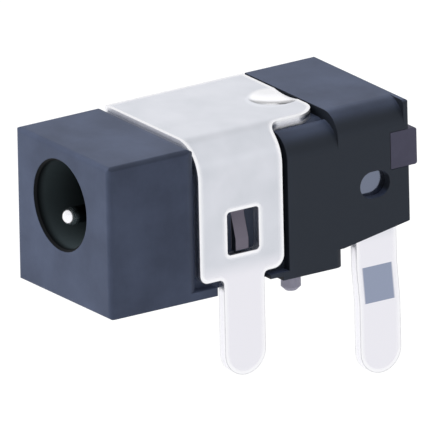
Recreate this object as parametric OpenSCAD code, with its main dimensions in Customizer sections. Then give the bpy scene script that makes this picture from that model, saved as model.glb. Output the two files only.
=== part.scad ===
// Right-angle DC power jack for a circuit board.
// Frame: X across the body, Y from the plug end to the rear, Z up from the board.
// The origin is on the board plane, midway between the two locating pegs.

/* [Housing] */
// Width of the moulded body
body_w = 6.6; // [6.4:0.1:8]
// Height of the body above the board
body_h = 6.3; // [6.1:0.1:8]
// Length of the full-section block round the socket mouth
front_l = 4.2; // [3.8:0.1:4.6]
// Rounding of that block's rear edges
shoulder_r = 0.5; // [0.3:0.05:0.6]
// Rounding of the moulded outer edges
edge_r = 0.2; // [0.1:0.05:0.3]
// Rounding of the rear edges
rear_round = 0.1; // [0.05:0.05:0.2]
// Radius of the long edge that the shell folds over
fold_r = 1.05; // [0.7:0.05:1.3]
// Radius of the same edge on the block behind the shell
rear_edge_r = 1; // [0.6:0.05:1.2]
// Length of the rear foot that carries the locating pegs
foot_l = 2.9; // [1.6:0.1:3.2]
// How far the rear foot reaches behind the socket's end
foot_reach = 0.85; // [0.5:0.05:1]
// Clearance under the body between the two feet
relief_h = 0.18; // [0.1:0.02:0.24]
// Height of the underside just behind the rear foot
tail_low = 0.75; // [0.5:0.05:1]
// Height of the underside at the rear end
tail_high = 1.3; // [1.1:0.05:1.6]
// Outer walls of the terminal chamber
wall = 0.35; // [0.3:0.05:0.6]
// Roof over the terminal chamber
chamber_roof = 1.1; // [0.9:0.05:1.4]
// Length of the terminal chamber, front to back
chamber_l = 2.45; // [2.4:0.05:4]
// Length of the side inspection eye
eye_l = 1.4; // [1.2:0.1:1.6]
// Height of the side inspection eye
eye_h = 1.1; // [0.8:0.1:1.2]
// Distance from the chamber's front to the middle of the eye
eye_inset = 1.25; // [1.1:0.05:1.4]

/* [Socket] */
// Diameter of the socket's bore
bore_d = 3.6; // [3.3:0.1:3.8]
// Depth of the bore from the front face
bore_depth = 10.2; // [9.8:0.1:12]
// Wall between the bore and the body's top
roof = 0.65; // [0.6:0.05:0.9]
// Bevel round the bore's mouth
mouth_bevel = 0.1; // [0.05:0.01:0.2]
// Wall that carries the centre pin
partition_t = 1.1; // [1:0.1:1.6]
// Outer diameter of the plug's sleeve
plug_d = 2.35; // [2.2:0.05:2.4]

/* [Centre pin] */
// Diameter of the free pin
pin_d = 0.7; // [0.6:0.05:0.8]
// Distance of the pin's axis below the bore's axis
pin_drop = 0.55; // [0.45:0.05:0.6]
// Setback of the pin's tip behind the front face
pin_setback = 0.15; // [0.1:0.05:1]
// Diameter of the collar that seats on the partition
collar_d = 1.6; // [1.4:0.1:2]
// Thickness of the collar
collar_l = 0.4; // [0.3:0.05:0.6]
// Diameter of the shank through the partition
shank_d = 1.1; // [1.1:0.05:1.3]
// Diameter of the riveted head
head_d = 1.5; // [1.4:0.1:1.8]
// Height of the riveted head
head_l = 0.3; // [0.2:0.05:0.4]

/* [Shell] */
// Thickness of the plated sheet
sheet_t = 0.4; // [0.3:0.05:0.5]
// Gap between the front block and the shell's front edge
front_gap = 0.05; // [0.05:0.05:0.3]
// Gap between the shell's rear edge and the block behind it
rear_gap = 0.1; // [0.05:0.05:0.2]
// Width of the side flap, front to back
flap_l = 3.95; // [3.6:0.05:4.2]
// Height of the flap's lower edge above the board
flap_z = 0.6; // [0.6:0.05:1]
// Gap behind and below the flap in its recess
flap_gap = 0.25; // [0.1:0.05:0.3]
// How far the top plate steps in behind the flap
tab_inset = 1.1; // [0.7:0.05:1.3]
// Width of the solder legs
leg_w = 1.9; // [1.6:0.1:2]
// Distance from the flap's front edge to the leg
leg_inset = 1.1; // [0.9:0.05:1.2]
// Gap in front of and behind the leg in its slot
leg_gap = 0.3; // [0.1:0.05:0.4]
// Reach of the shell's leg below the board
shell_leg = 3.5; // [2.5:0.1:4]
// Length of the latch window, front to back
window_l = 1.5; // [1.2:0.1:1.6]
// Height of the latch window
window_h = 1.8; // [1.6:0.1:2]
// Strip of sheet between the flap's lower edge and the window
window_sill = 0.95; // [0.7:0.05:1]
// Radius of the pressed dish
dish_r = 1.05; // [1:0.05:1.2]
// Depth of the pressed dish
dish_depth = 0.12; // [0.08:0.01:0.15]
// Distance of the dish's centre from the plate's rear edge
dish_setback = 0.6; // [0.5:0.05:0.8]

/* [Sleeve spring] */
// Thickness of the spring strip
spring_t = 0.25; // [0.2:0.01:0.28]
// Width of the spring's arm
arm_w = 1.3; // [1:0.1:1.4]
// Length of the arm from its root to the crown
arm_l = 3.2; // [2.8:0.1:3.4]
// Length of the turned-up lip
lip_l = 0.8; // [0.5:0.1:0.9]
// Width of the spring's root
root_w = 2.6; // [2.4:0.1:2.8]
// Interference between the crown and a seated plug
preload = 0.15; // [0.05:0.05:0.25]
// Distance of the anchoring tab behind the socket's end
anchor_inset = 0.3; // [0.2:0.05:0.35]
// Depth of the anchoring tab below the spring's root
anchor_h = 0.6; // [0.4:0.1:0.7]

/* [Pin terminal] */
// Reach of the terminal's leg below the board
terminal_leg = 4.8; // [3.5:0.1:5]
// Outward offset of the leg's lower part
kink = 0.17; // [0.05:0.01:0.3]
// Depth below the board where the leg's kink begins
kink_start = 0.4; // [0.05:0.05:0.6]
// Depth below the board where the leg's kink ends
kink_end = 1.85; // [1.2:0.05:2]
// Outer radius of the terminal's fold
terminal_fold_r = 0.7; // [0.5:0.05:0.8]
// Half height of the terminal's upper plate
terminal_half_h = 0.85; // [0.7:0.05:1]

/* [Pegs and rear cover] */
// Diameter of the locating pegs
peg_d = 0.8; // [0.7:0.05:1]
// Length of the locating pegs below the board
peg_l = 1.1; // [0.9:0.1:1.6]
// Spacing of the locating pegs
peg_pitch = 3.2; // [2.6:0.1:3.6]
// Thickness of the rear cover
cover_t = 0.45; // [0.3:0.05:0.6]
// Height of the cover's latch bar
bar_h = 1.55; // [1.2:0.05:1.8]
// How far the latch bar stands out behind the body
bar_out = 0.35; // [0.2:0.05:0.5]
// Length of the latch lugs in the side walls
lug_l = 0.9; // [0.7:0.05:1.2]
// Diameter of the boss that backs the pin
boss_d = 2; // [1.6:0.1:2.2]

/* [Hidden] */
$fn = 64;

fit = 0.02;          // clearance of a moulded or pressed fit
touch = 0.01;        // gap left where a pressed form bears on a strip
over = 1;            // how far a cutter runs past the faces it opens
half_w = body_w / 2;
flange_l = 0.25;
foot_r = 0.4;
core_x = half_w - sheet_t;    // side face that the flap lies on
socket_x = -sheet_t / 2;      // middle of the core

// Stations along the body, from the front face
shell_y = front_l + front_gap;
anchor_y = bore_depth + anchor_inset;
plate_end = anchor_y + spring_t;
rear_y = plate_end + rear_gap;
chamber_y = bore_depth + partition_t;
cover_y = chamber_y + chamber_l;
body_l = cover_y + cover_t;
foot_end = bore_depth + foot_reach;
foot_y = foot_end - foot_l;
peg_y = foot_y + foot_l / 2;

// Heights above the board
bore_z = body_h - roof - bore_d / 2;
pin_z = bore_z - pin_drop;
seat_z = body_h - sheet_t;
root_z = seat_z - dish_depth - touch - spring_t;
chamber_z = body_h - chamber_roof;

// Shell
fold_outer_r = fold_r + sheet_t;
flap_end = shell_y + flap_l;
tab_x = half_w - tab_inset;
recess_end = flap_end + flap_gap;
rail_z = flap_z - flap_gap;
shell_leg_y = shell_y + leg_inset;
leg_slot_y = shell_leg_y - leg_gap;
leg_slot_l = leg_w + 2 * leg_gap;
window_y = shell_leg_y + (leg_w - window_l) / 2;
window_z = flap_z + window_sill;
window_r = 0.15;
notch_r = 0.6;
seat_x = tab_x + notch_r - sqrt(flap_gap * (2 * notch_r - flap_gap)) + fit;
tab_corner_r = 1;
flap_front_r = 0.35;
flap_rear_r = 0.5;
leg_fillet_r = 0.2;
dish_y = plate_end - dish_setback;
dish_sphere_r = (dish_r * dish_r + dish_depth * dish_depth) / (2 * dish_depth);

// Latch on the housing's side
latch_l = 0.6;
latch_out = 0.75 * sheet_t;
latch_gap = 0.08;
latch_h = window_h - 4 * latch_gap;

// Spring
pocket_y = dish_y - dish_r - 2 * dish_depth;
spring_y = pocket_y + fit;
crown_y = spring_y - arm_l;
crown_z = pin_z + plug_d / 2 - preload + spring_t / 2;
lip_rise = lip_l / 2;
slot_play = 0.2;
slot_w = arm_w + 2 * slot_play;
slot_y = crown_y - lip_l - 2 * spring_t;
anchor_w = 0.4 * root_w;

// Terminal
chamber_x = half_w - wall;
terminal_leg_y = cover_y - fit - leg_w;
terminal_low = pin_z - terminal_half_h;
plate_x = socket_x - head_d / 2 - sheet_t;
eye_y = chamber_y + eye_inset;
eye_drop = 0.2;
eye_z = pin_z - eye_drop;
bar_drop = 0.1;
bar_z = chamber_z - bar_drop - bar_h;

// Moves geometry from the front-face stations to the frame's origin
module placed() translate([0, -peg_y, 0]) children();

// Moves what is centred on the socket to its place in the core
module in_socket() translate([socket_x, 0, 0]) children();

// Extrudes an X-Z outline from y0 to y1
module along_y(y0, y1)
    translate([0, y1, 0]) rotate([90, 0, 0]) linear_extrude(y1 - y0) children();

// Extrudes a Y-Z outline from x0 to x1
module along_x(x0, x1)
    translate([x0, 0, 0]) rotate([90, 0, 90]) linear_extrude(x1 - x0) children();

// Cylinder along Y from y0 to y1 at a given height
module rod_y(d, y0, y1, z)
    translate([0, y0, z]) rotate([-90, 0, 0]) cylinder(d = d, h = y1 - y0);

// Waste outside a rounded corner whose sides run along +X and +Y
module corner_waste(r) difference() {
    translate([-r, -r]) square(2 * r);
    translate([r, r]) circle(r);
}

// Web inside a concave corner whose sides run along +X and +Y
module fillet_web(r) difference() {
    square(r);
    translate([r, r]) circle(r);
}

// Rectangle with radii [bottom left, bottom right, top right, top left]
module rounded_rect(w, h, radii) difference() {
    square([w, h]);
    for (i = [0 : 3])
        if (radii[i] > 0)
            translate([i == 1 || i == 2 ? w : 0, i > 1 ? h : 0])
                rotate(90 * i) corner_waste(radii[i]);
}

// Bent strip of thickness t whose middle follows the given points
module strip(points, t) {
    for (i = [0 : len(points) - 2]) {
        run = points[i + 1] - points[i];
        translate(points[i]) rotate(atan2(run.y, run.x))
            translate([0, -t / 2]) square([norm(run), t]);
    }
    for (i = [1 : len(points) - 2]) translate(points[i]) circle(d = t);
}

// Leg with a round end, from its top down to the given depth
module leg_outline(y0, top, depth) {
    translate([y0, leg_w / 2 - depth]) square([leg_w, top + depth - leg_w / 2]);
    translate([y0 + leg_w / 2, leg_w / 2 - depth]) circle(d = leg_w);
}

// Bar with round ends, centred
module slot_outline(l, h) {
    square([l - h, h], center = true);
    for (side = [-1, 1]) translate([side * (l - h) / 2, 0]) circle(d = h);
}

// Body section up to a given height, with one rounded long edge
module body_section(h, r)
    translate([-half_w, 0]) rounded_rect(body_w, h, [0, 0, r, 0]);

// Section behind the flap, with a seat for the plate's rolled edge
module rear_section() difference() {
    body_section(seat_z, fold_r);
    intersection() {
        translate([core_x, seat_z]) rotate(180) corner_waste(fold_r + 2 * fit);
        square([seat_x, body_h]);
    }
}

module outer_form() {
    // core under the shell, narrower by one sheet where the flap lies flush
    along_y(0, body_l)
        translate([-half_w, 0])
            rounded_rect(body_w - sheet_t, seat_z, [0, 0, fold_r + 2 * fit, 0]);
    difference() {
        along_y(0, front_l)
            translate([-half_w, 0]) rounded_rect(body_w, body_h, [0, 0, edge_r, edge_r]);
        along_x(-half_w - over, half_w + over)
            translate([front_l, body_h]) rotate(180) corner_waste(shoulder_r);
        translate([half_w, front_l, -over]) linear_extrude(body_h + 2 * over)
            rotate(180) corner_waste(shoulder_r);
    }
    along_y(recess_end, body_l) rear_section();
    along_y(rear_y, body_l) body_section(body_h, rear_edge_r);
    along_y(body_l - flange_l, body_l) body_section(body_h, edge_r);
    // rail under the flap
    translate([0, front_l - shoulder_r, 0])
        cube([half_w, recess_end - front_l + shoulder_r, rail_z]);
}

// Rounds the front face's edges and the rear edges
module end_rounds() {
    along_x(-half_w - over, half_w + over) {
        corner_waste(rear_round);
        translate([0, body_h]) rotate(270) corner_waste(edge_r);
        translate([body_l, body_h]) rotate(180) corner_waste(rear_round);
    }
    translate([0, 0, -over]) linear_extrude(body_h + 2 * over) {
        translate([-half_w, 0]) corner_waste(edge_r);
        translate([half_w, 0]) rotate(90) corner_waste(edge_r);
        translate([half_w, body_l]) rotate(180) corner_waste(rear_round);
        translate([-half_w, body_l]) rotate(270) corner_waste(rear_round);
    }
}

// Bore with its bevelled mouth
module socket_cut() {
    rod_y(bore_d, -over, bore_depth, bore_z);
    translate([0, -over, bore_z]) rotate([-90, 0, 0])
        cylinder(r1 = bore_d / 2 + mouth_bevel + over, r2 = bore_d / 2, h = mouth_bevel + over);
}

// Pocket, slot and anchor hole that the spring drops into from above
module spring_cut() {
    translate([-root_w / 2 - fit, pocket_y, root_z])
        cube([root_w + 2 * fit, plate_end + fit - pocket_y, body_h]);
    translate([-slot_w / 2, slot_y, bore_z]) cube([slot_w, pocket_y + over - slot_y, body_h]);
    translate([-anchor_w / 2 - fit, anchor_y - fit, root_z - anchor_h - fit])
        cube([anchor_w + 2 * fit, spring_t + 2 * fit, body_h]);
}

module underside_cut() {
    translate([-half_w - over, leg_slot_y, -over])
        cube([body_w + 2 * over, foot_y - leg_slot_y, relief_h + over]);
    translate([core_x, leg_slot_y, -over]) cube([sheet_t + over, leg_slot_l, over + flap_z]);
    translate([0, 0, -over]) linear_extrude(over + tail_low) {
        translate([half_w, foot_end]) rotate(180) corner_waste(foot_r);
        translate([-half_w, foot_end]) rotate(270) corner_waste(foot_r);
    }
    along_x(-half_w - over, half_w + over)
        polygon([[foot_end, -over], [foot_end, tail_low],
                 [body_l, tail_high], [body_l + over, tail_high], [body_l + over, -over]]);
}

module chamber_cut() {
    translate([-chamber_x, chamber_y, -over])
        cube([2 * chamber_x, chamber_l + cover_t + over, chamber_z + over]);
    translate([-half_w - over, body_l - lug_l, bar_z])
        cube([body_w + 2 * over, lug_l + over, bar_h]);
    along_x(chamber_x - over, half_w + over)
        translate([eye_y, eye_z]) slot_outline(eye_l, eye_h);
}

module peg(side) translate([side * peg_pitch / 2, peg_y, 0]) {
    tip = peg_d / 5;
    translate([0, 0, tip - peg_l]) cylinder(d = peg_d, h = peg_l - tip + relief_h);
    translate([0, 0, -peg_l]) cylinder(d1 = peg_d - 2 * tip, d2 = peg_d, h = tip);
}

// Ramp that the flap's window snaps over
module latch()
    translate([0, window_y + (window_l - latch_l) / 2, window_z + latch_gap])
        along_y(0, latch_l)
            polygon([[core_x - wall, 0], [core_x + latch_out, 0],
                     [core_x + latch_out, latch_h / 3], [core_x, latch_h], [core_x - wall, latch_h]]);

module housing() color("#474d5d") placed() {
    difference() {
        outer_form();
        in_socket() {
            socket_cut();
            spring_cut();
            rod_y(shank_d + fit, bore_depth - over, chamber_y + over, pin_z);
        }
        underside_cut();
        chamber_cut();
        end_rounds();
    }
    latch();
    for (side = [-1, 1]) peg(side);
}

module rear_cover() color("#3a404e") placed() {
    difference() {
        union() {
            translate([-chamber_x + fit, cover_y, tail_high])
                cube([2 * (chamber_x - fit), cover_t, chamber_z - fit - tail_high]);
            translate([-half_w, body_l - cover_t, bar_z + fit])
                cube([body_w, cover_t + bar_out, bar_h - 2 * fit]);
            for (x = [-half_w, chamber_x + fit])
                translate([x, body_l - lug_l + fit, bar_z + fit])
                    cube([wall - fit, lug_l, bar_h - 2 * fit]);
            in_socket()
                rod_y(boss_d, chamber_y + sheet_t + head_l + fit, cover_y + cover_t / 2, pin_z);
        }
        along_x(-half_w - over, half_w + over) {
            translate([body_l + bar_out, bar_z + fit]) rotate(90) corner_waste(edge_r / 2);
            translate([body_l + bar_out, bar_z + bar_h - fit]) rotate(180) corner_waste(edge_r / 2);
        }
    }
}

// Top plate, fold and side flap as one section, wide open on the left and below
module shell_section() difference() {
    translate([-half_w, -shell_leg])
        rounded_rect(body_w, body_h + shell_leg, [0, 0, fold_outer_r, 0]);
    translate([-half_w - over, -shell_leg - over])
        rounded_rect(body_w - sheet_t + over, seat_z + shell_leg + over, [0, 0, fold_r, 0]);
}

// Side view of the shell: full width above, then the flap's rounded foot and the leg
module shell_side() {
    translate([shell_y, flap_z])
        rounded_rect(flap_l, window_z, [flap_front_r, flap_rear_r, 0, 0]);
    translate([shell_y, window_z]) square([plate_end - shell_y, body_h]);
    leg_outline(shell_leg_y, window_z, shell_leg);
    translate([shell_leg_y, flap_z]) rotate(180) fillet_web(leg_fillet_r);
    translate([shell_leg_y + leg_w, flap_z]) rotate(270) fillet_web(leg_fillet_r);
}

module shell_cuts() {
    // step behind the flap, with a rounded inner corner
    translate([tab_x, flap_end, -shell_leg]) linear_extrude(shell_leg + body_h + over)
        rounded_rect(tab_inset + over, plate_end - flap_end + over, [notch_r, 0, 0, 0]);
    translate([tab_x, plate_end, seat_z - over]) linear_extrude(sheet_t + 2 * over)
        rotate(180) corner_waste(tab_corner_r);
    along_x(core_x - over, half_w + over)
        translate([window_y, window_z])
            rounded_rect(window_l, window_h, [window_r, window_r, window_r, window_r]);
}

// Pressed dish: the sheet follows a shallow sphere at one thickness
module dish_fill() intersection() {
    translate([0, dish_y, body_h - dish_depth + dish_sphere_r])
        sphere(r = dish_sphere_r + sheet_t, $fn = 128);
    translate([-2 * dish_r, dish_y - 2 * dish_r, seat_z - dish_depth - over])
        cube([4 * dish_r, 2 * dish_r + dish_setback, dish_depth + over + sheet_t / 2]);
}

module sleeve_contact() color("#d9dbe0") placed() difference() {
    union() {
        intersection() {
            along_y(shell_y, plate_end) shell_section();
            along_x(-half_w - over, half_w + over) shell_side();
        }
        in_socket() dish_fill();
    }
    shell_cuts();
    in_socket()
        translate([0, dish_y, body_h - dish_depth + dish_sphere_r])
            sphere(r = dish_sphere_r, $fn = 128);
}

module sleeve_spring() color("#c9a45c") placed() in_socket() {
    mid_z = root_z + spring_t / 2;
    translate([-root_w / 2, spring_y, root_z]) cube([root_w, plate_end - spring_y, spring_t]);
    along_x(-anchor_w / 2, anchor_w / 2)
        translate([anchor_y, root_z - anchor_h]) square([spring_t, anchor_h + spring_t]);
    along_x(-arm_w / 2, arm_w / 2)
        strip([[spring_y + spring_t, mid_z], [spring_y, mid_z], [crown_y, crown_z],
               [crown_y - lip_l, crown_z + lip_rise]], spring_t);
}

module centre_pin() color("#e3e4e8") placed() in_socket()
    translate([0, 0, pin_z]) rotate([-90, 0, 0]) rotate_extrude() {
        tip_r = pin_d / 2;
        translate([0, pin_setback]) intersection() {
            translate([0, tip_r]) circle(r = tip_r);
            square([tip_r, 2 * tip_r]);
        }
        translate([0, pin_setback + tip_r]) square([tip_r, bore_depth - pin_setback - tip_r]);
        translate([0, bore_depth - collar_l]) square([collar_d / 2, collar_l]);
        translate([0, bore_depth - collar_l]) square([shank_d / 2, collar_l + partition_t + sheet_t]);
        translate([0, chamber_y + sheet_t])
            polygon([[0, 0], [head_d / 2, 0], [head_d / 2, head_l / 3], [head_d / 3, head_l], [0, head_l]]);
    }

// Plan view of the folded plate: across the partition, then along the right wall
module terminal_plan() difference() {
    translate([plate_x, chamber_y])
        rounded_rect(chamber_x - plate_x, cover_y - fit - chamber_y, [0, terminal_fold_r, 0, 0]);
    translate([-half_w, chamber_y + sheet_t])
        rounded_rect(half_w + chamber_x - sheet_t, chamber_l, [0, terminal_fold_r - sheet_t, 0, 0]);
}

module pin_terminal() color("#d2d5db") placed() {
    leg_x = chamber_x - sheet_t / 2;
    difference() {
        translate([0, 0, terminal_low]) linear_extrude(2 * terminal_half_h) terminal_plan();
        in_socket() rod_y(shank_d + fit, chamber_y - over, chamber_y + sheet_t + over, pin_z);
    }
    intersection() {
        along_y(terminal_leg_y, terminal_leg_y + leg_w)
            strip([[leg_x, terminal_low + sheet_t], [leg_x, -kink_start],
                   [leg_x + kink, -kink_end], [leg_x + kink, -terminal_leg]], sheet_t);
        along_x(chamber_x - 2 * sheet_t, half_w + over)
            leg_outline(terminal_leg_y, body_h, terminal_leg);
    }
}

housing();
rear_cover();
sleeve_contact();
sleeve_spring();
centre_pin();
pin_terminal();
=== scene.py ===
import math

import bpy
import numpy as np
from mathutils import Matrix, Vector


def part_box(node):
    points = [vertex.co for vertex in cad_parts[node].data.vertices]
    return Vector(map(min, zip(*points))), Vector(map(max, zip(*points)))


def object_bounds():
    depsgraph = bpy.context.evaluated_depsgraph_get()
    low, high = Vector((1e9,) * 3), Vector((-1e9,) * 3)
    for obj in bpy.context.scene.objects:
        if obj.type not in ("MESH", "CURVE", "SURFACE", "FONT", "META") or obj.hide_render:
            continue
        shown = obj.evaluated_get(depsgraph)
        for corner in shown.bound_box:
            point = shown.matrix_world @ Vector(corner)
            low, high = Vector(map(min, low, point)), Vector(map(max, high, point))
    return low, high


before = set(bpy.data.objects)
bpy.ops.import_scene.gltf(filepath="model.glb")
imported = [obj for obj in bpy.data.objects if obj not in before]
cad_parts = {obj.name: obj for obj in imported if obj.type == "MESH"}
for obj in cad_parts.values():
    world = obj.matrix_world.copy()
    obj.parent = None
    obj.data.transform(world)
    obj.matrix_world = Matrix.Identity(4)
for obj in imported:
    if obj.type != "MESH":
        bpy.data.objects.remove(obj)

cadBox = [list(corner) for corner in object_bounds()]
mm = 0.001
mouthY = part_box("housing")[0].y       # the socket's front face
print("frame loaded:", ", ".join(sorted(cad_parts)))


# sRGB hex to linear: each channel c becomes ((c + 0.055) / 1.055) ^ 2.4, or c / 12.92 where it is small
def linearFromHex(text):
    channels = np.array([int(text[i:i + 2], 16) for i in (0, 2, 4)]) / 255
    linear = np.where(channels <= 0.04045, channels / 12.92, ((channels + 0.055) / 1.055) ** 2.4)
    return (*linear.tolist(), 1.0)


# adds one node, sets its properties and input values, and links outputs into its inputs
def addNode(tree, kind, settings=None, values=None, links=None):
    made = tree.nodes.new(kind)
    for name, value in (settings or {}).items():
        setattr(made, name, value)
    for name, value in (values or {}).items():
        made.inputs[name].default_value = value
    for name, socket in (links or {}).items():
        tree.links.new(socket, made.inputs[name])
    return made


# one operation on two terms; each is a socket, a number or a vector
def addOperation(tree, kind, operation, terms):
    made = addNode(tree, kind, {"operation": operation})
    for place, term in enumerate(terms):
        if isinstance(term, bpy.types.NodeSocket):
            tree.links.new(term, made.inputs[place])
        else:
            made.inputs[place].default_value = term
    return made


def addMath(tree, operation, *terms):
    return addOperation(tree, "ShaderNodeMath", operation, terms).outputs[0]


def addProduct(tree, first, second):
    return addMath(tree, "MULTIPLY", first, second)


def addVectorMath(tree, operation, *terms):
    made = addOperation(tree, "ShaderNodeVectorMath", operation, terms)
    return made.outputs["Value" if operation in ("DISTANCE", "DOT_PRODUCT") else "Vector"]


# a smooth step of a value between the two levels of a pair, from start to end
def addStep(tree, value, levels, start=0.0, end=1.0):
    return addNode(tree, "ShaderNodeMapRange", {"interpolation_type": "SMOOTHSTEP"},
                   {"From Min": levels[0], "From Max": levels[1], "To Min": start, "To Max": end},
                   {"Value": value}).outputs[0]


# mixes two colours by a factor; each is a socket or a hex
def addMix(tree, factor, first, second):
    mix = addNode(tree, "ShaderNodeMix", {"data_type": "RGBA"}, links={0: factor})
    for place, colour in ((6, first), (7, second)):
        if isinstance(colour, str):
            mix.inputs[place].default_value = linearFromHex(colour)
        else:
            tree.links.new(colour, mix.inputs[place])
    return mix.outputs[2]


def addNoise(tree, place, size, detail, roughness=0.5):
    return addNode(tree, "ShaderNodeTexNoise",
                   values={"Scale": 1 / (size * mm), "Detail": detail, "Roughness": roughness},
                   links={"Vector": place}).outputs["Fac"]


# a ramp from one hex to another between two stops
def addRamp(tree, factor, stops, colours):
    ramp = addNode(tree, "ShaderNodeValToRGB", links={0: factor})
    for element, position, colour in zip(ramp.color_ramp.elements, stops, colours):
        element.position = position
        element.color = linearFromHex(colour)
    return ramp.outputs[0]


# fine relief on top of edges that are rounded by a radius
def addRelief(tree, height, strength, depth, rounded):
    return addNode(tree, "ShaderNodeBump", values={"Strength": strength, "Distance": depth * mm},
                   links={"Height": height, "Normal": rounded}).outputs[0]


def addBevel(tree, radius, samples):
    return addNode(tree, "ShaderNodeBevel", {"samples": samples}, {"Radius": radius * mm}).outputs[0]


def ownNormal(tree):
    return addNode(tree, "ShaderNodeNewGeometry").outputs["Normal"]


def splitVector(tree, vector):
    return addNode(tree, "ShaderNodeSeparateXYZ", links={0: vector}).outputs


# both levels of a pair from mm to metres, counted from a given place
def fromMm(levels, start=0.0):
    return [start + level * mm for level in levels]


# an empty node material, ready for a shader
def newMaterial(name):
    material = bpy.data.materials.new(name)
    material.use_nodes = True
    material.node_tree.nodes.clear()
    return material, material.node_tree


# Camera: parallel view, so edges that are parallel on the part stay parallel in the picture
camera = {
    "azimuth": 56.81, "elevation": 18.73, "roll": -1.24,   # degrees
    "distance": 400 * mm, "width": 16.926 * mm,            # width of what the picture shows
    "across": 5.913 * mm, "upward": 3.319 * mm,            # from the socket's mouth to the picture's middle
    "clipStart": 0.01, "clipEnd": 5,                       # m
}


def makeCamera():
    azimuth, elevation, roll = (math.radians(camera[k]) for k in ("azimuth", "elevation", "roll"))
    back = Vector((math.sin(azimuth) * math.cos(elevation),
                   -math.cos(azimuth) * math.cos(elevation), math.sin(elevation)))
    level = Vector((math.cos(azimuth), math.sin(azimuth), 0))
    upright = back.cross(level)
    right = level * math.cos(roll) + upright * math.sin(roll)
    up = upright * math.cos(roll) - level * math.sin(roll)
    mouth = Vector((0, mouthY, 0))
    place = mouth + right * camera["across"] + up * camera["upward"] + back * camera["distance"]
    data = bpy.data.cameras.new("camera")
    data.type = "ORTHO"
    data.ortho_scale = camera["width"]
    data.clip_start = camera["clipStart"]
    data.clip_end = camera["clipEnd"]
    holder = bpy.data.objects.new("camera", data)
    holder.matrix_world = Matrix((
        (right.x, up.x, back.x, place.x),
        (right.y, up.y, back.y, place.y),
        (right.z, up.z, back.z, place.z),
        (0, 0, 0, 1)))
    bpy.context.scene.collection.objects.link(holder)
    bpy.context.scene.camera = holder


makeCamera()
print("camera placed")


# Glass-filled nylon, injection moulded: a matt spark-eroded skin, so soft grey light lies on it,
# with faint clouding where the melt flowed; rounded edges and recesses carry painted shade, the bore painted
# shade with a lit band inside its mouth and a lower sheen
nylon = {
    # painted shade and light among these: darker edges, recesses, rear side and bore, a lit band in the
    # bore, and a paler shoulder and latch
    "edgeAndRecessShade": "1b1f26", "bore": "3d4649", "mouth": "0b0d0f",
    "shaded": "2a3039", "peg": "a3a1b0", "latch": "77727e", "shoulderLight": "c4c6cf",
    "roughness": 0.5, "sheen": 0.2, "boreSheen": 0.1, "ior": 1.45, "relief": 0.35,
    "cloudSize": 2.2, "grainSize": 0.09, "grainDepth": 0.004, "edge": 0.05,   # mm
    "cloudDetail": 4, "cloudRoughness": 0.6, "grainDetail": 2, "cloudStops": (0.35, 0.65),
    "boreRadius": 1.93, "boreAbovePin": 0.55, "boreReach": (0.01, 10.26),     # mm, reach from the mouth
    # the bore's painted lit band, and its painted shade deeper in
    "boreLit": (0.1, 0.5), "boreShadeReach": (1.0, 3.2),                            # mm from the mouth
    "shadeReach": (-6.0, -0.5), "cornerShade": 0.35,                          # mm, along the side
    "latchMiddle": (3.0, -3.3, 2.42), "latchHalf": (0.4, 0.31, 0.76),         # mm
    "shoulderReach": (-4.9, -5.0), "mouthReach": (-9.4, -9.2), "pegReach": (0.02, -0.05),   # mm
}
# where a mask starts and is full, as parts of the surface's normal
facing = {
    "side": (0.5, 0.9), "corner": (0.08, 0.4), "mouthStep": (-0.6, -0.9),
    "shoulderBack": (0.3, 0.85), "shoulderUp": (0.02, 0.2),
}
housing = {"dark": "3a4255", "light": "454e63", "shade": 1.0}
rearCover = {"dark": "4b4a5b", "light": "535265", "shade": 0.0}


# strongest where a side turns into the top or the rear: |x| times the larger of z and y,
# which is 0.5 halfway round the edge and 0 on every flat face
def longEdge(tree, normal):
    sideways = addMath(tree, "ABSOLUTE", normal["X"])
    return addProduct(tree, sideways, addMath(tree, "MAXIMUM", normal["Y"], normal["Z"]))


# 1 inside the socket's bore: nearer to its axis than its radius, and between its mouth and its end
def boreMask(tree, place, along):
    low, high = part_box("centre_pin")
    axis = ((low.x + high.x) / 2, 0, (low.z + high.z) / 2 + nylon["boreAbovePin"] * mm)
    fromAxis = addVectorMath(tree, "DISTANCE", addVectorMath(tree, "MULTIPLY", place, (1, 0, 1)), axis)
    inside = addMath(tree, "LESS_THAN", fromAxis, nylon["boreRadius"] * mm)
    start, end = fromMm(nylon["boreReach"], mouthY)
    behind = addMath(tree, "GREATER_THAN", along, start)
    before = addMath(tree, "LESS_THAN", along, end)
    return addProduct(tree, inside, addProduct(tree, behind, before))


# 1 inside a box given by its middle and half sizes in mm
def insideBox(tree, place, middle, half):
    offset = addVectorMath(tree, "SUBTRACT", place, Vector(middle) * mm)
    size = addVectorMath(tree, "ABSOLUTE", offset)
    over = splitVector(tree, addVectorMath(tree, "SUBTRACT", size, Vector(half) * mm))
    most = addMath(tree, "MAXIMUM", addMath(tree, "MAXIMUM", over["X"], over["Y"]), over["Z"])
    return addMath(tree, "LESS_THAN", most, 0)


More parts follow.
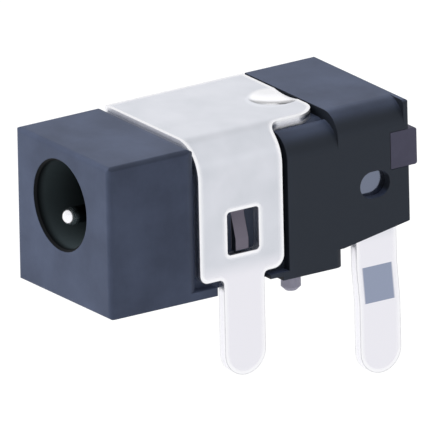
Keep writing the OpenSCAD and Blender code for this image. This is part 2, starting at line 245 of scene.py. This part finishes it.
def mouldedNylon(name, piece):
    material, tree = newMaterial(name)
    place = addNode(tree, "ShaderNodeTexCoord").outputs["Object"]
    where = splitVector(tree, place)
    normal = splitVector(tree, ownNormal(tree))
    cloud = addNoise(tree, place, nylon["cloudSize"], nylon["cloudDetail"], nylon["cloudRoughness"])
    colour = addRamp(tree, cloud, nylon["cloudStops"], (piece["dark"], piece["light"]))
    # the side grows darker towards the rear, where the light falls off
    rearward = addStep(tree, where["Y"], fromMm(nylon["shadeReach"]), 0, piece["shade"])
    onSide = addStep(tree, normal["X"], facing["side"])
    colour = addMix(tree, addProduct(tree, onSide, rearward), colour, nylon["shaded"])
    # painted shade on the rounded long edges, where a side turns into the top or the rear
    paintedEdgeShade = addStep(tree, longEdge(tree, normal), facing["corner"], 0, nylon["cornerShade"])
    colour = addMix(tree, paintedEdgeShade, colour, nylon["edgeAndRecessShade"])
    # painted light: the front block's rear shoulder is painted pale under the shell's edge, over the shade
    # of the gap there
    backward = addProduct(tree, addStep(tree, normal["Y"], facing["shoulderBack"]),
                          addStep(tree, normal["Z"], facing["shoulderUp"]))
    shoulderLight = addProduct(tree, backward, addStep(tree, where["Y"], fromMm(nylon["shoulderReach"])))
    colour = addMix(tree, shoulderLight, colour, nylon["shoulderLight"])
    # painted light: the latch seen through the window is painted paler than the nylon around it
    litLatch = insideBox(tree, place, nylon["latchMiddle"], nylon["latchHalf"])
    colour = addMix(tree, litLatch, colour, nylon["latch"])
    # painted shade on the recessed faces that face the front, behind the front face
    recessShade = addProduct(tree, addStep(tree, normal["Y"], facing["mouthStep"]),
                       addStep(tree, where["Y"], fromMm(nylon["mouthReach"])))
    colour = addMix(tree, recessShade, colour, nylon["edgeAndRecessShade"])
    colour = addMix(tree, addStep(tree, where["Z"], fromMm(nylon["pegReach"])), colour, nylon["peg"])
    inBore = boreMask(tree, place, where["Y"])
    # painted light and shade in the bore: dark at its lip, a lit band just inside, then dark deeper in
    lit = addStep(tree, where["Y"], fromMm(nylon["boreLit"], mouthY))
    deep = addStep(tree, where["Y"], fromMm(nylon["boreShadeReach"], mouthY))
    boreShading = addMix(tree, deep, addMix(tree, lit, nylon["mouth"], nylon["bore"]), nylon["mouth"])
    colour = addMix(tree, inBore, colour, boreShading)
    grain = addNoise(tree, place, nylon["grainSize"], nylon["grainDetail"])
    relief = addRelief(tree, grain, nylon["relief"], nylon["grainDepth"],
                       addBevel(tree, nylon["edge"], 6))
    gloss = addStep(tree, inBore, (0, 1), nylon["sheen"], nylon["boreSheen"])
    shader = addNode(tree, "ShaderNodeBsdfPrincipled",
                     values={"IOR": nylon["ior"], "Roughness": nylon["roughness"]},
                     links={"Base Color": colour, "Specular IOR Level": gloss, "Normal": relief})
    addNode(tree, "ShaderNodeOutputMaterial", links={"Surface": shader.outputs[0]})
    return material


# Bright nickel over brass sheet, pressed and folded: a satin mirror, with a slight roll grain
# along the strip, a faint cloud from the plating bath, painted white highlights on the rims and in the dish,
# and sheared grey corners
nickel = {
    "paintedHighlight": "ffffff", "leg": "f3f2f6", "sheared": "b4b5b9",
    "rimRoughness": 0.45, "dishRoughness": 0.12, "relief": 0.3,
    "legHeights": (1.4, 0.5),                                                 # mm above the board
    "dish": (0, 0.25, 6.2), "dishReach": 1.1,                                 # mm, smoothed by the punch
    "dishHighlight": (-0.3, 0.62, 6.2), "dishHighlightReach": 1.05,                   # mm, a painted highlight in the dish
    "spotBorder": 0.8,                                                        # share of a reach that is full
    "cloudSize": 1.6, "rollSpacing": 0.06, "rollDepth": 0.0008,               # mm
    "edge": 0.05, "rimWidth": 0.35,                                           # mm
    "cloudDetail": 3, "rollDetail": 2, "rollStretch": (1, 0.05, 1), "cloudStops": (0.3, 0.7),
    "rimMatch": (0.999, 0.972), "shearedMatch": (0.99, 0.9),
}
sleeveContact = {"deep": "d7dadf", "bright": "e1e3e8", "roughness": 0.24}
pinTerminal = {
    "deep": "d7dadf", "bright": "e1e3e8", "roughness": 0.14, "kink": "98a1b5", "housed": "757c8c",
    "kinkTilt": ((0.03, 0.08), (0.25, 0.18)),                                 # parts of the normal
    "middle": 3.18, "kinkHalf": (0.74, 0.64), "housedHeights": (1.2, 1.6),    # mm
}
# the shaft tone is painted shade on the pin behind its tip, inside the bore
centrePin = {"deep": "f4f4f6", "bright": "ffffff", "roughness": 0.2,
             "shaftShade": "3c4044", "tipLength": (0.35, 0.6)}                     # mm
sleeveSpring = {"deep": "b98f5a", "bright": "d0a873", "roughness": 0.25}      # phosphor bronze


# how well the normal, averaged over a radius, matches the face's own; less than 1 near an edge
def edgeMatch(tree, averaged):
    return addVectorMath(tree, "DOT_PRODUCT", averaged, ownNormal(tree))


# 1 within a reach of a spot, both in mm, with a soft border
def nearSpot(tree, place, spot, reach):
    away = addVectorMath(tree, "DISTANCE", place, Vector(spot) * mm)
    return addStep(tree, away, fromMm((reach, nickel["spotBorder"] * reach)))


# the terminal's kink mirrors the dark side of the room, and its sheet looks duller inside the body
def terminalTones(tree, where, colour, piece):
    tilt = splitVector(tree, ownNormal(tree))["Z"]
    rising, falling = piece["kinkTilt"]
    kinked = addProduct(tree, addStep(tree, tilt, rising), addStep(tree, tilt, falling))
    aside = addMath(tree, "ABSOLUTE", addMath(tree, "SUBTRACT", where["Y"], piece["middle"] * mm))
    kinked = addProduct(tree, kinked, addStep(tree, aside, fromMm(piece["kinkHalf"])))
    colour = addMix(tree, kinked, colour, piece["kink"])
    housed = addStep(tree, where["Z"], fromMm(piece["housedHeights"]))
    return addMix(tree, housed, colour, piece["housed"])


def platedSheet(name, piece):
    material, tree = newMaterial(name)
    place = addNode(tree, "ShaderNodeTexCoord").outputs["Object"]
    where = splitVector(tree, place)
    cloud = addNoise(tree, place, nickel["cloudSize"], nickel["cloudDetail"])
    plating = addRamp(tree, cloud, nickel["cloudStops"], (piece["deep"], piece["bright"]))
    onLeg = addStep(tree, where["Z"], fromMm(nickel["legHeights"]))
    colour = addMix(tree, onLeg, plating, nickel["leg"])
    inDish = nearSpot(tree, place, nickel["dish"], nickel["dishReach"])
    # painted highlight: a white patch in the dish
    dishHighlight = nearSpot(tree, place, nickel["dishHighlight"], nickel["dishHighlightReach"])
    colour = addMix(tree, dishHighlight, colour, nickel["paintedHighlight"])
    if "kink" in piece:
        colour = terminalTones(tree, where, colour, piece)
    # painted highlight: the sheet's rims are painted white where their edges catch light, and made rougher
    paintedHighlight = addStep(tree, edgeMatch(tree, addBevel(tree, nickel["rimWidth"], 8)), nickel["rimMatch"])
    colour = addMix(tree, paintedHighlight, colour, nickel["paintedHighlight"])
    # painted shade: the pin's shaft behind its tip is painted dark
    if "shaftShade" in piece:
        behindTip = addStep(tree, where["Y"], fromMm(piece["tipLength"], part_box("centre_pin")[0].y))
        colour = addMix(tree, behindTip, colour, piece["shaftShade"])
    rounded = addBevel(tree, nickel["edge"], 6)
    corner = addStep(tree, edgeMatch(tree, rounded), nickel["shearedMatch"])
    colour = addMix(tree, addProduct(tree, onLeg, corner), colour, nickel["sheared"])
    stretched = addNode(tree, "ShaderNodeMapping", values={"Scale": nickel["rollStretch"]},
                        links={"Vector": place}).outputs[0]
    roll = addNoise(tree, stretched, nickel["rollSpacing"], nickel["rollDetail"])
    relief = addRelief(tree, roll, nickel["relief"], nickel["rollDepth"], rounded)
    smooth = addStep(tree, inDish, (0, 1), piece["roughness"], nickel["dishRoughness"])
    rough = addNode(tree, "ShaderNodeMix", {"data_type": "FLOAT"}, {3: nickel["rimRoughness"]},
                    {0: paintedHighlight, 2: smooth}).outputs[0]
    shader = addNode(tree, "ShaderNodeBsdfPrincipled", values={"Metallic": 1.0},
                     links={"Base Color": colour, "Roughness": rough, "Normal": relief})
    addNode(tree, "ShaderNodeOutputMaterial", links={"Surface": shader.outputs[0]})
    return material


finishes = {
    "housing": mouldedNylon("mouldedNylon", housing),
    "rear_cover": mouldedNylon("mouldedCoverNylon", rearCover),
    "sleeve_contact": platedSheet("platedShellSheet", sleeveContact),
    "pin_terminal": platedSheet("platedTerminalSheet", pinTerminal),
    "centre_pin": platedSheet("turnedPlatedPin", centrePin),
    "sleeve_spring": platedSheet("phosphorBronzeStrip", sleeveSpring),
}
for nodeName, material in finishes.items():
    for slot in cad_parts[nodeName].material_slots:
        slot.material = material
print("materials assigned")


# Studio: a white table in a light tent, with two soft lamps that the plated faces don't mirror
studio = {
    "floorSize": 600 * mm, "floorDrop": 0.02 * mm, "shadowShare": 0.12,
    "tableTone": 0.9, "tableSeen": 1.1, "backdropSeen": 1.05,
    "tint": "fcfcff", "low": 1.0, "high": 0.9, "heights": (0.3, 0.6),
    "mirrored": 1.06, "ambient": 0.6,
}
# paler and darker parts of the tent: direction, angles in degrees, and what they add
patches = [
    {"towards": (-0.83, 0.56, -0.08), "inner": 11, "outer": 20, "added": -0.55},
    {"towards": (-0.5, 0.52, 0.68), "inner": 6, "outer": 18, "added": -0.08},
    {"towards": (0.8, 0.52, -0.1), "inner": 10, "outer": 35, "added": -0.1},
]
lamps = [
    {"name": "keyLamp", "towards": (-0.5, -0.8, 0.75), "distance": 120 * mm, "size": 100 * mm,
     "watts": 0.13},
    {"name": "topLamp", "towards": (0.1, 0.2, 1), "distance": 120 * mm, "size": 120 * mm,
     "watts": 0.04},
]


def makeWorld():
    world = bpy.data.worlds.new("studio")
    bpy.context.scene.world = world
    world.use_nodes = True
    tree = world.node_tree
    tree.nodes.clear()
    direction = addNode(tree, "ShaderNodeTexCoord").outputs["Generated"]
    height = splitVector(tree, direction)["Z"]
    room = addStep(tree, height, studio["heights"], studio["low"], studio["high"])
    for patch in patches:
        near = addVectorMath(tree, "DOT_PRODUCT", direction, Vector(patch["towards"]).normalized())
        edge = [math.cos(math.radians(patch[name])) for name in ("outer", "inner")]
        room = addMath(tree, "ADD", room, addStep(tree, near, edge, 0, patch["added"]))
    path = addNode(tree, "ShaderNodeLightPath")
    share = addStep(tree, path.outputs["Is Glossy Ray"], (0, 1), studio["ambient"], studio["mirrored"])
    lit = addNode(tree, "ShaderNodeBackground", values={"Color": linearFromHex(studio["tint"])},
                  links={"Strength": addProduct(tree, room, share)})
    seen = addNode(tree, "ShaderNodeBackground",
                   values={"Color": (1, 1, 1, 1), "Strength": studio["backdropSeen"]})
    mixed = addNode(tree, "ShaderNodeMixShader",
                    links={0: path.outputs["Is Camera Ray"], 1: lit.outputs[0], 2: seen.outputs[0]})
    addNode(tree, "ShaderNodeOutputWorld", links={"Surface": mixed.outputs[0]})


# a square lamp that looks at the part's middle
def addLamp(settings):
    low, high = (Vector(corner) for corner in cadBox)
    data = bpy.data.lights.new(settings["name"], "AREA")
    data.size = settings["size"]
    data.energy = settings["watts"]
    lamp = bpy.data.objects.new(settings["name"], data)
    lamp.visible_glossy = False
    way = Vector(settings["towards"]).normalized()
    lamp.location = (low + high) / 2 + way * settings["distance"]
    lamp.rotation_mode = "QUATERNION"
    lamp.rotation_quaternion = way.to_track_quat("Z", "Y")
    bpy.context.scene.collection.objects.link(lamp)


# the table: white to the eye, apart from a share that keeps the part's shadow
def makeFloor():
    low = min(corner[2] for corner in cadBox) - studio["floorDrop"]
    half = studio["floorSize"] / 2
    mesh = bpy.data.meshes.new("floor")
    mesh.from_pydata([(-half, -half, low), (half, -half, low), (half, half, low), (-half, half, low)],
                     [], [(0, 1, 2, 3)])
    floor = bpy.data.objects.new("floor", mesh)
    bpy.context.scene.collection.objects.link(floor)
    material, tree = newMaterial("paleTable")
    path = addNode(tree, "ShaderNodeLightPath")
    tone = studio["tableTone"]
    table = addNode(tree, "ShaderNodeBsdfDiffuse", values={"Color": (tone, tone, tone, 1)})
    seen = addNode(tree, "ShaderNodeEmission",
                   values={"Color": (1, 1, 1, 1), "Strength": studio["tableSeen"]})
    share = addProduct(tree, path.outputs["Is Camera Ray"], 1 - studio["shadowShare"])
    mixed = addNode(tree, "ShaderNodeMixShader", links={0: share, 1: table.outputs[0], 2: seen.outputs[0]})
    addNode(tree, "ShaderNodeOutputMaterial", links={"Surface": mixed.outputs[0]})
    mesh.materials.append(material)
    floor.visible_glossy = False      # plated faces mirror the tent's own white ground


makeWorld()
makeFloor()
for lampSettings in lamps:
    addLamp(lampSettings)
bpy.context.scene.view_settings.view_transform = "Standard"
print("studio lit")
